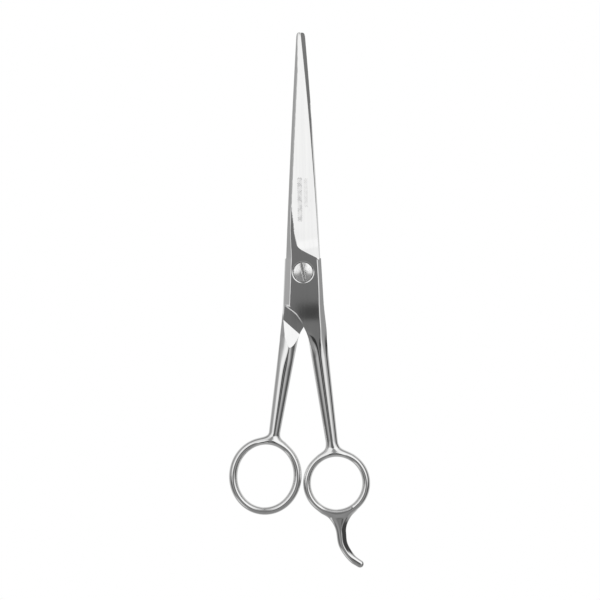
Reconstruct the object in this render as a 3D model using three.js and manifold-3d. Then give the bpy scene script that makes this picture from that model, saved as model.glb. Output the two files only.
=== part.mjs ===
// Hair cutting shears with a fixed finger rest, shown closed. Units are millimetres.
//
// The blades lie in the XZ plane with their points up (+Z). The pivot's axis is Y, and the origin is where
// that axis meets the outer flat of the back half, on which the shears lie. The screw's head faces -Y. The
// finger ring is on the +X side and the thumb ring on the -X side.
//
// Both halves are the same forging apart from their shanks and rings, so each is modelled in the pose of
// the front half: outer face towards -Y, back of the blade towards -X, cutting edge and shank towards +X,
// with the plane between the halves at Y = 0. The back half is then turned half a turn about Z, and the
// whole is moved so that its outer flat comes to Y = 0.

import * as THREE from 'three';
import Module from 'manifold-3d';
import { mergeVertices } from 'three/addons/utils/BufferGeometryUtils.js';
import { ParametricGeometry } from 'three/addons/geometries/ParametricGeometry.js';

const wasm = await Module();
wasm.setup();

// ---------------------------------------------------------------- driving dimensions

const MATING_GAP = 0.1;          // free play between the inner faces of the two halves
const INNER_Y = -MATING_GAP / 2; // inner face of a half in the modelling pose
const FLAT_DEPTH = 2.8;          // outer flat of a half, measured from the plane between the halves

// Blade, from its point down to the heel. Both outlines bow outwards a little.
const POINT_Z = 94.6;
const SHOULDER_Z = 92.4;         // where the rounding of the point begins
const POINT_BACK_X = -1.25;      // back and edge of the small flat at the very end
const POINT_EDGE_X = 0.15;
const HEEL_Z = 8;
const BOW_Z = (SHOULDER_Z + HEEL_Z) / 2;
const BLADE_BACK = new THREE.QuadraticBezierCurve(
  new THREE.Vector2(-1.8, SHOULDER_Z), new THREE.Vector2(-5.05, BOW_Z), new THREE.Vector2(-6.7, HEEL_Z));
const BLADE_EDGE = new THREE.QuadraticBezierCurve(
  new THREE.Vector2(0.15, SHOULDER_Z), new THREE.Vector2(4.25, BOW_Z), new THREE.Vector2(6.25, HEEL_Z));
const POINT_DEPTH = 1.1;         // depth of the ridge at the point
const POINT_END_DEPTH = 0.8;
const POINT_BEVEL = 0.45;        // share of the width and depth that the bevel takes there
const POINT_STATIONS = [1, 0.9, 0.6];  // sections of the rounded point, as shares of its height
const EDGE_DEPTH = 0.3;          // land left behind the cutting edge
const BACK_BEVEL = 1.1;          // width of the bevel along the back of the blade
const BACK_BEVEL_SLOPE = 0.85;   // how far that bevel falls for each millimetre of its width
const GRIND_END_Z = 26;          // above this the ground face reaches the back bevel
const RIDGE_LAND = 0.05;         // width left between the bevel and the ground face
const RUN_OUT_MARGIN = 0.4;      // width left between the end of the ground face and the cutting edge
const BLADE_STATIONS = 14;

// Where the ground face runs out into the flat round the pivot: X of the boundary at a few heights.
const RUN_OUT = new THREE.SplineCurve([
  new THREE.Vector2(-4.6, GRIND_END_Z), new THREE.Vector2(-3.7, 17.5), new THREE.Vector2(-2.3, 10.7),
  new THREE.Vector2(0.8, 7.9), new THREE.Vector2(5.3, 5.6)]);
const RUN_OUT_STATIONS = 8;

// Flat round the pivot.
const HEEL_STEP_Z = 5.4;         // where the outline steps out below the cutting edge
const FLAT_TOP_EDGE_X = 7.1;     // edge side of the flat at that height
const FLAT_TOP_BACK_X = -6.8;    // back side, which carries on the line of the blade's back
const FLAT_FLARE = 0.05;         // how much each side moves out for each millimetre downwards
const WIDE_BEVEL = 2.3;          // bevel along the back beside the pivot
const WIDE_BEVEL_DEPTH = 1.5;    // depth of the outer side of that bevel
const SIDE_ROUND = 1.7;          // rounding along the edge side of the flat
const SIDE_DEPTH = 1.2;
const SIDE_ANGLES = [0, 30, 60].map(THREE.MathUtils.degToRad);
const CORNER_Z = -13;            // lower corner on the back side, where the outline turns to the crotch
// Lower outline from that corner to the inside of the shank.
const CROTCH = new THREE.SplineCurve([
  new THREE.Vector2(-7.77, CORNER_Z), new THREE.Vector2(-5.9, -14.05), new THREE.Vector2(-3, -16.3),
  new THREE.Vector2(0.1, -19.9), new THREE.Vector2(1.5, -21.7)]);
const CROTCH_STATIONS = 6;
const CROTCH_BEVEL = 0.4;        // small bevel along that outline

// Step from the flat inner face up to the full shank. It is slanted, and its foot lies at one distance
// from the pivot, outside the circle that the other half's corner sweeps.
const STEP_DISTANCE = 19.3;
const STEP_TURN = THREE.MathUtils.degToRad(41.9);  // lean of the step's direction from -Z towards +X
const STEP_SLOPE = Math.tan(THREE.MathUtils.degToRad(20));
const STEP_RUN = 9;              // length of the cutter's ramp, which ends above the back of the shank
const STEP_REACH = 60;           // size of the cutter in its other directions
const STEP_HEIGHT = 8;

// Shank.
const SHANK_TOP_Z = -27;
const SHANK_DEPTH = 2.75;        // outer bulge of the shank below the flat
const SHANK_BACK_DEPTH = 2.4;    // bulge beyond the plane between the halves
const SHANK_END_DEPTH = 2.15;    // both of them at the ring
const FADE_DEPTH = 4.6;          // depth of the oval that the flat is cut from at the crotch
const FADE_END_Z = -31;          // where the flat ends in a point on the shank
// Inside of the shank beside the crotch, where it leans further in than it does lower down.
const SHANK_SHOULDER = [
  new THREE.Vector2(-0.4, -17.5), new THREE.Vector2(0, -20), new THREE.Vector2(0.5, -22),
  new THREE.Vector2(0.95, -23.4), new THREE.Vector2(1.45, -25)];
const SHANK_STATIONS = [0, 0.1, 0.4, 0.7, 1];  // shares of the way from the top of the shank to its root
const ROOT_STEPS = 5;

// Rings. Centres are in the modelling pose. The band is a little wider at the sides than at top and bottom.
const RING_DEPTH = 2.1;
const ROOT_DEPTH = 1.9;          // of the shank where it ends inside the ring's band
const FINGER = {
  shankX: 5.52, shankSlope: 0.127, shankHalf: 3.68, shankTaper: 0.0307,
  rootZ: -66.8, rootEndZ: -72.2, innerFlare: 0.12, outerFlare: 0.16,
  ringX: 12.35, ringZ: -83.4, ringHalfX: 11.7, ringHalfZ: 11.75, ringTurn: 0,
  bandSide: 1.6, bandTop: 1.42,
};
const THUMB = {
  shankX: 5.95, shankSlope: 0.165, shankHalf: 3.6, shankTaper: 0.036,
  rootZ: -62.9, rootEndZ: -67.1, innerFlare: 0.13, outerFlare: 0.36,
  ringX: 15.7, ringZ: -80.3, ringHalfX: 12.7, ringHalfZ: 13.85, ringTurn: THREE.MathUtils.degToRad(7),
  bandSide: 1.7, bandTop: 1.5,
};

// Finger rest: its middle line, from inside the ring's band to the rounded end.
const REST_LINE = new THREE.SplineCurve([
  new THREE.Vector2(13.4, -94.6), new THREE.Vector2(14, -103), new THREE.Vector2(14.9, -108.2),
  new THREE.Vector2(18.3, -113.2), new THREE.Vector2(22.6, -116.2)]);
const REST_HALF = 2.35;          // half width of the rest below its root
const REST_END_HALF = 1.5;
const REST_ROOT = 4.4;           // extra half width where it leaves the ring
const REST_ROOT_LENGTH = 8.5;
const REST_DEPTH = 1.75;
const REST_END_DEPTH = 1.35;
const REST_STATIONS = 14;
const REST_END_ANGLES = [30, 55, 75].map(THREE.MathUtils.degToRad);

// Pivot screw and its holes.
const SCREW_RADIUS = 2.55;
const HOLE_RADIUS = 2.62;
const HEAD_RADIUS = 3.9;
const HEAD_HOLE_RADIUS = 4.1;
const HEAD_SEAT_Y = -2.5;        // where the countersink meets the straight rim of its recess
const CONE_END_Y = -1.2;         // where the countersink meets the plain hole
const SEAT_CLEARANCE = 0.08;     // along the axis, between the head's cone and the countersink
const HEAD_RIM_Y = -3;
const HEAD_TOP_Y = -3.5;
const HEAD_CHAMFER = 0.25;
const HEAD_FLAT_RADIUS = 2.3;    // where the head's chamfered side meets its slightly domed top
const HEAD_DOME = 0.1;
const SCREW_END_Y = FLAT_DEPTH;  // flush with the outer flat of the back half
const SCREW_CHAMFER = 0.35;
const HOLE_REACH = 5;            // the holes' cutters stand this far out on both sides
const SLOT_WIDTH = 1.3;
const SLOT_DEPTH = 0.75;
const SLOT_TURN = THREE.MathUtils.degToRad(-11);
const ROUND_SIDES = 48;

const POLISHED_STEEL = { color: 0xd2d2d0, roughness: 0.16, metalness: 1 };
const TURNED_STEEL = { color: 0xc8c8c6, roughness: 0.22, metalness: 1 };

const OVAL_SIDES = 20;
const RING_SIDES = 14;
const RING_STATIONS = 44;

// ---------------------------------------------------------------- solids

// A closed geometry as a solid, once its shared vertices are merged and its empty triangles are dropped.
function solid(geometry) {
  const bare = geometry.clone();
  bare.deleteAttribute('normal');
  bare.deleteAttribute('uv');
  const merged = mergeVertices(bare);
  const index = merged.index.array;
  const triangles = [];
  for (let i = 0; i < index.length; i += 3) {
    const [a, b, c] = [index[i], index[i + 1], index[i + 2]];
    if (a !== b && b !== c && c !== a) triangles.push(a, b, c);
  }
  return new wasm.Manifold(new wasm.Mesh({
    numProp: 3,
    vertProperties: new Float32Array(merged.attributes.position.array),
    triVerts: new Uint32Array(triangles),
  }));
}

function toGeometry(body) {
  const mesh = body.getMesh();
  const geometry = new THREE.BufferGeometry();
  geometry.setAttribute('position', new THREE.BufferAttribute(mesh.vertProperties, 3));
  geometry.setIndex(new THREE.BufferAttribute(mesh.triVerts, 1));
  geometry.computeVertexNormals();
  return geometry;
}

// The solid through a row of sections, which are closed polygons with the same number of corners, closed at
// each end by triangles that meet in the middle of the end section.
function loft(sections) {
  const middle = (section) => section
    .reduce((sum, corner) => sum.add(corner), new THREE.Vector3()).divideScalar(section.length);
  const first = middle(sections[0]);
  const last = middle(sections[sections.length - 1]);
  const rows = [sections[0].map(() => first), ...sections, sections[0].map(() => last)];
  const corners = sections[0].length;
  const stacks = rows.length - 1;
  const surface = (u, v, target) => {
    const corner = (2 * corners - Math.round(u * corners)) % corners;
    const row = THREE.MathUtils.clamp(Math.round(v * stacks), 0, stacks);
    target.copy(rows[row][corner]);
  };
  return solid(new ParametricGeometry(surface, corners, stacks));
}

// An oval section between two points of the XZ plane. It bulges by `outer` towards -Y and by `inner`
// towards +Y, and the outer flat cuts off whatever would stand beyond it.
function oval({ left, right, outer, inner }) {
  const centre = left.clone().add(right).divideScalar(2);
  const half = right.clone().sub(left).divideScalar(2);
  return Array.from({ length: OVAL_SIDES }, (_, i) => {
    const angle = (i / OVAL_SIDES) * 2 * Math.PI;
    const across = -Math.cos(angle);
    const depth = Math.sin(angle);
    const y = depth > 0 ? -Math.min(outer * depth, FLAT_DEPTH) : -inner * depth;
    return new THREE.Vector3(centre.x + half.x * across, y, centre.y + half.y * across);
  });
}

// A level section of the blade or of the flat: its front corners, then the edge and the flat inner face.
function flatSection(z, back, front, edge, edgeDepth) {
  const corners = [...front, [edge, -edgeDepth], [edge, INNER_Y], [back, INNER_Y]];
  return corners.map(([x, y]) => new THREE.Vector3(x, y, z));
}

// ---------------------------------------------------------------- one half

// Front corners of a blade section: back bevel, then the ground face falling to the edge.
function groundFront(back, depth, bevel, bevelDrop, runOut, edge) {
  const ridge = back + bevel;
  const start = Math.max(runOut, ridge + RIDGE_LAND);
  const startDepth = runOut > ridge
    ? depth
    : THREE.MathUtils.mapLinear(start, ridge, edge, depth, EDGE_DEPTH);
  const face = [0, 1 / 3, 2 / 3].map((share) => [
    THREE.MathUtils.lerp(start, edge, share),
    -THREE.MathUtils.lerp(startDepth, EDGE_DEPTH, share),
  ]);
  return [[back, -(depth - bevelDrop)], [ridge, -depth], ...face];
}

function bladeSections() {
  const sections = [];
  // Rounded point: the back curves in to a small flat at the end.
  for (const rise of POINT_STATIONS) {
    const z = THREE.MathUtils.lerp(SHOULDER_Z, POINT_Z, rise);
    const back = THREE.MathUtils.lerp(BLADE_BACK.getPoint(0).x, POINT_BACK_X, rise ** 3);
    const depth = THREE.MathUtils.lerp(POINT_DEPTH, POINT_END_DEPTH, rise ** 3);
    const bevel = POINT_BEVEL * (POINT_EDGE_X - back);
    const front = groundFront(back, depth, bevel, depth * POINT_BEVEL, -Infinity, POINT_EDGE_X);
    sections.push(flatSection(z, back, front, POINT_EDGE_X, EDGE_DEPTH));
  }
  // Blade down to the height where the ground face starts to run out.
  for (let i = 0; i <= BLADE_STATIONS; i++) {
    const t = (i / BLADE_STATIONS) * (SHOULDER_Z - GRIND_END_Z) / (SHOULDER_Z - HEEL_Z);
    const back = BLADE_BACK.getPoint(t);
    const edge = BLADE_EDGE.getPoint(t).x;
    const depth = THREE.MathUtils.mapLinear(back.y, SHOULDER_Z, GRIND_END_Z, POINT_DEPTH, FLAT_DEPTH);
    const bevel = Math.min(BACK_BEVEL, POINT_BEVEL * (edge - back.x));
    const drop = Math.min(BACK_BEVEL_SLOPE * bevel, POINT_BEVEL * depth);
    const front = groundFront(back.x, depth, bevel, drop, -Infinity, edge);
    sections.push(flatSection(back.y, back.x, front, edge, EDGE_DEPTH));
  }
  return sections;
}

function runOutSections() {
  const sections = [];
  for (let i = 1; i <= RUN_OUT_STATIONS; i++) {
    const point = RUN_OUT.getPoint(i / RUN_OUT_STATIONS);
    const z = point.y;
    const t = (SHOULDER_Z - z) / (SHOULDER_Z - HEEL_Z);
    const back = BLADE_BACK.getPoint(t).x;
    const edge = BLADE_EDGE.getPoint(t).x;
    const share = THREE.MathUtils.smoothstep(GRIND_END_Z - z, 0, GRIND_END_Z - HEEL_STEP_Z);
    const bevel = THREE.MathUtils.lerp(BACK_BEVEL, WIDE_BEVEL, share);
    const drop = THREE.MathUtils.lerp(BACK_BEVEL_SLOPE * BACK_BEVEL, FLAT_DEPTH - WIDE_BEVEL_DEPTH, share);
    const front = groundFront(back, FLAT_DEPTH, bevel, drop, Math.min(point.x, edge - RUN_OUT_MARGIN), edge);
    sections.push(flatSection(z, back, front, edge, EDGE_DEPTH));
  }
  return sections;
}

// Edge side and back side of the flat round the pivot.
function flatEdgeX(z) {
  return FLAT_TOP_EDGE_X + FLAT_FLARE * (HEEL_STEP_Z - z);
}

function flatBackX(z) {
  return FLAT_TOP_BACK_X - FLAT_FLARE * (HEEL_STEP_Z - z);
}

// Front corners of a section round the pivot: bevel on the back side, flat, rounding on the edge side.
function pivotFront(back, edge, bevel) {
  const share = bevel / WIDE_BEVEL;
  const rounding = SIDE_ANGLES.map((angle) => [
    edge - SIDE_ROUND * (1 - Math.sin(angle)),
    -SIDE_DEPTH - (FLAT_DEPTH - SIDE_DEPTH) * Math.cos(angle),
  ]);
  const side = THREE.MathUtils.lerp(FLAT_DEPTH, WIDE_BEVEL_DEPTH, share);
  return [[back, -side], [back + bevel, -FLAT_DEPTH], ...rounding];
}

function pivotSections() {
  const sections = [];
  for (const z of [HEEL_STEP_Z, CORNER_Z]) {
    const back = flatBackX(z);
    const edge = flatEdgeX(z);
    sections.push(flatSection(z, back, pivotFront(back, edge, WIDE_BEVEL), edge, SIDE_DEPTH));
  }
  for (let i = 1; i <= CROTCH_STATIONS; i++) {
    const point = CROTCH.getPoint(i / CROTCH_STATIONS);
    const edge = flatEdgeX(point.y);
    const front = pivotFront(point.x, edge, CROTCH_BEVEL);
    sections.push(flatSection(point.y, point.x, front, edge, SIDE_DEPTH));
  }
  return sections;
}

// The step that the other half's corner turns past: everything beyond the inner face nearer to the pivot
// than the slanted foot, with a ramp up to the full shank.
function stepCutter() {
  const profile = new THREE.Shape([
    new THREE.Vector2(STEP_REACH, INNER_Y), new THREE.Vector2(STEP_REACH, STEP_HEIGHT),
    new THREE.Vector2(-STEP_RUN, STEP_HEIGHT), new THREE.Vector2(-STEP_RUN, INNER_Y + STEP_RUN * STEP_SLOPE),
    new THREE.Vector2(0, INNER_Y)]);
  const cutter = new THREE.ExtrudeGeometry(profile, { depth: 2 * STEP_REACH, bevelEnabled: false });
  cutter.translate(-STEP_DISTANCE, 0, -STEP_REACH);
  // Profile X becomes the direction from the step towards the pivot, and Z the line of the step's foot.
  const towardsPivot = new THREE.Vector3(-Math.sin(STEP_TURN), 0, Math.cos(STEP_TURN));
  const inwards = new THREE.Vector3(0, 1, 0);
  const along = towardsPivot.clone().cross(inwards);
  cutter.applyMatrix4(new THREE.Matrix4().makeBasis(towardsPivot, inwards, along));
  return solid(cutter);
}

function shank(side) {
  const stations = [];
  const add = (z, left, right, outer, inner) => stations.push(oval({
    left: new THREE.Vector2(left, z), right: new THREE.Vector2(right, z), outer, inner,
  }));
  const middle = (z) => side.shankX + side.shankSlope * (SHANK_TOP_Z - z);
  const half = (z) => side.shankHalf - side.shankTaper * (SHANK_TOP_Z - z);
  const outer = (z) => (z > FADE_END_Z
    ? THREE.MathUtils.mapLinear(z, FADE_END_Z, CORNER_Z, SHANK_DEPTH, FADE_DEPTH)
    : THREE.MathUtils.mapLinear(z, FADE_END_Z, side.rootZ, SHANK_DEPTH, SHANK_END_DEPTH));
  const inner = (z) => THREE.MathUtils.mapLinear(
    z, SHANK_TOP_Z, side.rootZ, SHANK_BACK_DEPTH, SHANK_END_DEPTH);
  // Beside the crotch the outside of the shank runs from the side of the flat to its own line.
  const shankTopEdge = middle(SHANK_TOP_Z) + half(SHANK_TOP_Z);
  for (const { x: left, y: z } of SHANK_SHOULDER) {
    const right = THREE.MathUtils.mapLinear(z, SHANK_TOP_Z, CORNER_Z, shankTopEdge, flatEdgeX(CORNER_Z));
    add(z, left, right, outer(z), SHANK_BACK_DEPTH);
  }
  for (const share of SHANK_STATIONS) {
    const z = THREE.MathUtils.lerp(SHANK_TOP_Z, side.rootZ, share);
    add(z, middle(z) - half(z), middle(z) + half(z), outer(z), inner(z));
  }
  for (let i = 1; i <= ROOT_STEPS; i++) {
    const z = THREE.MathUtils.lerp(side.rootZ, side.rootEndZ, i / ROOT_STEPS);
    const fall = side.rootZ - z;
    const left = middle(z) - half(z) - side.innerFlare * fall * fall;
    const right = middle(z) + half(z) + side.outerFlare * fall * fall;
    const depth = THREE.MathUtils.lerp(SHANK_END_DEPTH, ROOT_DEPTH, i / ROOT_STEPS);
    add(z, left, right, depth, depth);
  }
  return loft(stations);
}

function ring(side) {
  const surface = (u, v, target) => {
    const around = (Math.round(v * RING_STATIONS) % RING_STATIONS) / RING_STATIONS * 2 * Math.PI;
    const section = (Math.round(u * RING_SIDES) % RING_SIDES) / RING_SIDES * 2 * Math.PI;
    const band = THREE.MathUtils.lerp(side.bandTop, side.bandSide, Math.cos(around) ** 2);
    const out = band * Math.cos(section);
    const x = (side.ringHalfX + out) * Math.cos(around);
    const z = (side.ringHalfZ + out) * Math.sin(around);
    const turned = new THREE.Vector2(x, z).rotateAround(new THREE.Vector2(), side.ringTurn);
    target.set(side.ringX + turned.x, RING_DEPTH * Math.sin(section), side.ringZ + turned.y);
  };
  return solid(new ParametricGeometry(surface, RING_SIDES, RING_STATIONS));
}

function fingerRest() {
  const stations = [];
  const length = REST_LINE.getLength();
  const add = (distance, share) => {
    const t = distance / length;
    const centre = REST_LINE.getPointAt(t);
    const along = REST_LINE.getTangentAt(t);
    const root = Math.max(1 - distance / REST_ROOT_LENGTH, 0) ** 2;
    const half = share * (THREE.MathUtils.lerp(REST_HALF, REST_END_HALF, t) + REST_ROOT * root);
    const depth = share * THREE.MathUtils.lerp(REST_DEPTH, REST_END_DEPTH, t);
    const side = new THREE.Vector2(along.y, -along.x).multiplyScalar(half);
    stations.push(oval({
      left: centre.clone().add(side), right: centre.clone().sub(side), outer: depth, inner: depth,
    }));
  };
  const straight = length - REST_END_HALF;
  for (let i = 0; i <= REST_STATIONS; i++) {
    add((straight * i) / REST_STATIONS, 1);
  }
  for (const angle of REST_END_ANGLES) {
    add(straight + REST_END_HALF * Math.sin(angle), Math.cos(angle));
  }
  return loft(stations);
}

function turned(profile) {
  return solid(new THREE.LatheGeometry(profile.map(([r, y]) => new THREE.Vector2(r, y)), ROUND_SIDES));
}

function pivotHole() {
  return turned([
    [0, -HOLE_REACH], [HEAD_HOLE_RADIUS, -HOLE_REACH], [HEAD_HOLE_RADIUS, HEAD_SEAT_Y],
    [HOLE_RADIUS, CONE_END_Y], [HOLE_RADIUS, HOLE_REACH], [0, HOLE_REACH]]);
}

function half(side) {
  const blade = loft([...bladeSections(), ...runOutSections(), ...pivotSections()]);
  return blade.add(shank(side)).subtract(stepCutter()).add(ring(side));
}

// ---------------------------------------------------------------- pieces

function frontHalf() {
  return half(FINGER).add(fingerRest()).subtract(pivotHole());
}

function backHalf() {
  const hole = turned([
    [0, -HOLE_REACH], [HOLE_RADIUS, -HOLE_REACH], [HOLE_RADIUS, HOLE_REACH], [0, HOLE_REACH]]);
  return half(THUMB).subtract(hole);
}

function pivotScrew() {
  const body = turned([
    [0, HEAD_TOP_Y], [HEAD_FLAT_RADIUS, HEAD_TOP_Y + HEAD_DOME],
    [HEAD_RADIUS - HEAD_CHAMFER, HEAD_RIM_Y - HEAD_CHAMFER], [HEAD_RADIUS, HEAD_RIM_Y],
    [HEAD_RADIUS, HEAD_SEAT_Y - SEAT_CLEARANCE], [SCREW_RADIUS, CONE_END_Y - SEAT_CLEARANCE],
    [SCREW_RADIUS, SCREW_END_Y - SCREW_CHAMFER], [SCREW_RADIUS - SCREW_CHAMFER, SCREW_END_Y],
    [0, SCREW_END_Y]]);
  const slot = new THREE.BoxGeometry(SLOT_WIDTH, 2 * SLOT_DEPTH, 3 * HEAD_RADIUS);
  slot.translate(0, HEAD_TOP_Y, 0);
  slot.rotateY(SLOT_TURN);
  return body.subtract(solid(slot));
}

// ---------------------------------------------------------------- assembly

function piece(name, body, finish) {
  const mesh = new THREE.Mesh(toGeometry(body), new THREE.MeshStandardMaterial(finish));
  mesh.name = name;
  return mesh;
}

const shears = new THREE.Group();
shears.add(piece('front_half', frontHalf(), POLISHED_STEEL));
const back = piece('back_half', backHalf(), POLISHED_STEEL);
back.rotation.z = Math.PI;
shears.add(back);
shears.add(piece('pivot_screw', pivotScrew(), TURNED_STEEL));
shears.position.y = -FLAT_DEPTH;

export default shears;
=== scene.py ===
import math

import bpy
import numpy as np
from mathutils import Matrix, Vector


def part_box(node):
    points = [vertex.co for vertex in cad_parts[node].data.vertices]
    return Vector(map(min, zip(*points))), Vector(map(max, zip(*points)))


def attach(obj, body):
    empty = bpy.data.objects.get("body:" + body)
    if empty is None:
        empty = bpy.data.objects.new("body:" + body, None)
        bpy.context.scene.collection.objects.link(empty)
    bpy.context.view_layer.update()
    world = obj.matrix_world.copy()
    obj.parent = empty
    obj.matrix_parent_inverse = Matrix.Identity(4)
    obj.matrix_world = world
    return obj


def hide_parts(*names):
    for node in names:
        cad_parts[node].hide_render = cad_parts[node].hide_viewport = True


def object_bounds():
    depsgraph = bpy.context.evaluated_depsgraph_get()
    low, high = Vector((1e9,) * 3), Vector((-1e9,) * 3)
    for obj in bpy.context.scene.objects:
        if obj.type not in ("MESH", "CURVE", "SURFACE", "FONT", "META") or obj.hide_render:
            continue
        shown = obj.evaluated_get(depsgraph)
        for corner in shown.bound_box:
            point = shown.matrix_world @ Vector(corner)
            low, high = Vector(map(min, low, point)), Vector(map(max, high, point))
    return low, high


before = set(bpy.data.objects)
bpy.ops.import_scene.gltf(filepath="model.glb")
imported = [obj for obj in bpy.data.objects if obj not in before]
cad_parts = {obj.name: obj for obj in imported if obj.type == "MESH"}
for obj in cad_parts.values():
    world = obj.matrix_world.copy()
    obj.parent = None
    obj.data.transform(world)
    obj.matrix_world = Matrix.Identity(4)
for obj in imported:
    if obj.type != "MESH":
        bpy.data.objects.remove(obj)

# The looks of the hair cutting shears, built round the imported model. Shapes are worked out in millimetres,
# in the pose of the front half: outer face towards -Y, back of the blade towards -X, cutting edge and
# shank towards +X, pivot axis on Y through the origin. The back half is built in the same pose and then
# given half a turn about Z. Each piece is an implicit solid: a function that is negative inside. Its surface
# is drawn by dual contouring, which keeps ridges sharp, and its shading normals come from the function.
# A pair of values named ..._Z gives the heights between which something sets in, from its start to its end.

MM = 0.001
CAD_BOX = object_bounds()


def node_box(name):
    """Lowest and highest corner of a CAD node, in millimetres."""
    low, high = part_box(name)
    return np.array(low) / MM, np.array(high) / MM


FRONT_LOW, FRONT_HIGH = node_box("front_half")
BACK_HIGH = node_box("back_half")[1]
SCREW_LOW, SCREW_HIGH = node_box("pivot_screw")
MID_Y = (FRONT_LOW[1] + BACK_HIGH[1]) / 2   # the plane between the halves, which shapes below take as Y = 0

INNER_Y = -0.05                       # inner face, just clear of the plane between the halves
FLAT_DEPTH = MID_Y - FRONT_LOW[1]     # outer flat, from that plane
BACK_BULGE = FRONT_HIGH[1] - MID_Y    # how far a shank stands beyond that plane
SOFT_EDGE = 0.09                      # how far polishing has rounded the ridges

# ---------------------------------------------------------------- dimensions of the blades

POINT_Z = FRONT_HIGH[2]
SHOULDER_Z = POINT_Z - 2.2
HEEL_Z = 8.0
HEEL_STEP_Z = 5.4                     # top of the flat round the pivot
BLADE_FOOT_Z = HEEL_STEP_Z - 0.5      # the blade reaches into the flat as far as this
EDGE_BOW = (0.15, 4.25, 6.25)         # X of the cutting edge at shoulder, control point and heel
EDGE_DEPTH = 0.3
POINT_BACK_X = -1.25
POINT_RADIUS = 0.55
POINT_RIDGE_DEPTH = 0.85
RIDGE_FALL_END = 1.03                 # in lengths of the grind: the ridge falls on a little past the shoulder
BACK_BEVEL = 1.15
BEVEL_SHARE = 0.3                     # of the width of the blade, where that is narrow
BEVEL_SLOPE = 0.8
BEVEL_GROWS_Z = 22.0                  # where the bevel starts to widen towards the pivot

GRIND_END_Z = 28.0
GRIND_END_SOFTNESS = 0.08
STEEPEST_GRIND = 0.6                  # rise over run
NARROWEST_GRIND = 0.3
RUN_OUT = (
    # X and Z along the crease where the ground face runs out
    (-4.45, 28), (-4.25, 25), (-3.95, 21.5), (-3.6, 17.8), (-3.35, 14.2), (-2.5, 10.7),
    (-1.4, 9.3), (1.3, 7.7), (4.4, 6.1), (6.6, 4.9),
)
RUN_OUT_BEND_Z = 14.2
RUN_OUT_BEND_SOFTNESS = 6
RUN_OUT_SLOPE = math.tan(math.radians(21))
RUN_OUT_SOFTNESS = (0.8, 0.04)        # of its crease, below the bend and at its upper end
RUN_OUT_SHARP_Z = 25.0

HOLLOW = 0.2                          # depth of the hollow ground into the inner face of the blade
HOLLOW_Z = (9, 20)
HOLLOW_FADE = (0.6, 2.5)              # half widths between which the hollow gains its full depth
RIDE_WIDTH = 0.75                     # flat land left along the cutting edge beside the hollow
BACK_LAND = 1.9                       # flat land left along the back
INNER_BEVEL = 0.45                    # width of the bevel between the inner face and the blade's back
INNER_BEVEL_Z = (70, 46)
INNER_BEVEL_TURN = math.radians(25)

HEEL_SCOOP = (5.6, 5.4)               # X and Z where the flat starts to fall towards its corner at the heel
HEEL_SCOOP_HEADING = math.radians(38)
HEEL_SCOOP_SLOPE = math.tan(math.radians(20))
HEEL_SCOOP_SOFTNESS = 0.1
HEEL_SCOOP_TOP_Z = HEEL_Z + 1

# ---------------------------------------------------------------- dimensions of the flats and the shanks

FLAT_TOP_EDGE_X = 7.1
FLAT_TOP_BACK_X = -6.8
FLAT_FLARE = 0.05
WIDE_BEVEL = 2.3
WIDE_BEVEL_SLOPE = 1.3 / WIDE_BEVEL
CORNER_Z = -13.0                      # lower corner of the flat on its back side
SIDE_START = (7.65, -5)               # X and Z where the curve down the edge side begins
SIDE_BEVEL = (
    # width and Z of the bevel down that side
    (1.5, 6), (1.5, -5), (1.75, -13), (2.1, -19), (2.3, -25), (2.2, -31), (2.0, -40),
)
SIDE_BEVEL_TURN = math.radians(36)
SIDE_BEVEL_SOFTNESS = 0.22
INNER_SIDE_BEVEL = 0.55
INNER_SIDE_BEVEL_LOSS = 4             # enough to take the bevel's plane clear of the shank
INNER_SIDE_BEVEL_LOSS_Z = (-24, -34)
INNER_SIDE_BEVEL_END_TURN = math.radians(50)
INNER_SIDE_BEVEL_TURN_Z = (-16, -21)
CROTCH = (
    # X and Z along the outline, from the lower corner towards the shank
    (-7.72, -13), (-6.3, -14.05), (-3.4, -16.3), (-1.9, -18.2), (-0.65, -20.2), (0.2, -22.0),
)
CROTCH_BEVEL = 0.42
CROTCH_BEVEL_TURN = math.radians(40)
CROTCH_BEVEL_Z = (CORNER_Z + 0.3, CORNER_Z - 0.7)
STEP_DISTANCE = 19.3                  # of the ramp beside the other blade, from the pivot
STEP_TURN = math.radians(41.9)
STEP_SLOPE = math.tan(math.radians(20))

OUTLINE_LEAD = 3                      # length of the straight shank that its outline curves run into
OUTLINE_SPACING = 0.25
SHANK_TOP_Z = -27.0
SHANK_THINS_Z = -31
SHANK_END_DEPTH = 2.15
OVAL_Z = (-22, -34)
OVAL_SCALE = 1.8
ROOF_POWER = (1.5, 2.0)               # of the shank's inner side: between a roof (1) and an oval (2)
ROOF_POWER_Z = (-29, -38)
ROOF_RIDGE_SHIFT = 0.6
ROOF_RIDGE_Z = (-42, -30)
ROOF_SCALE = 1.6

# ---------------------------------------------------------------- dimensions of the rings and the finger rest

RING_DEPTH = 2.1

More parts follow.
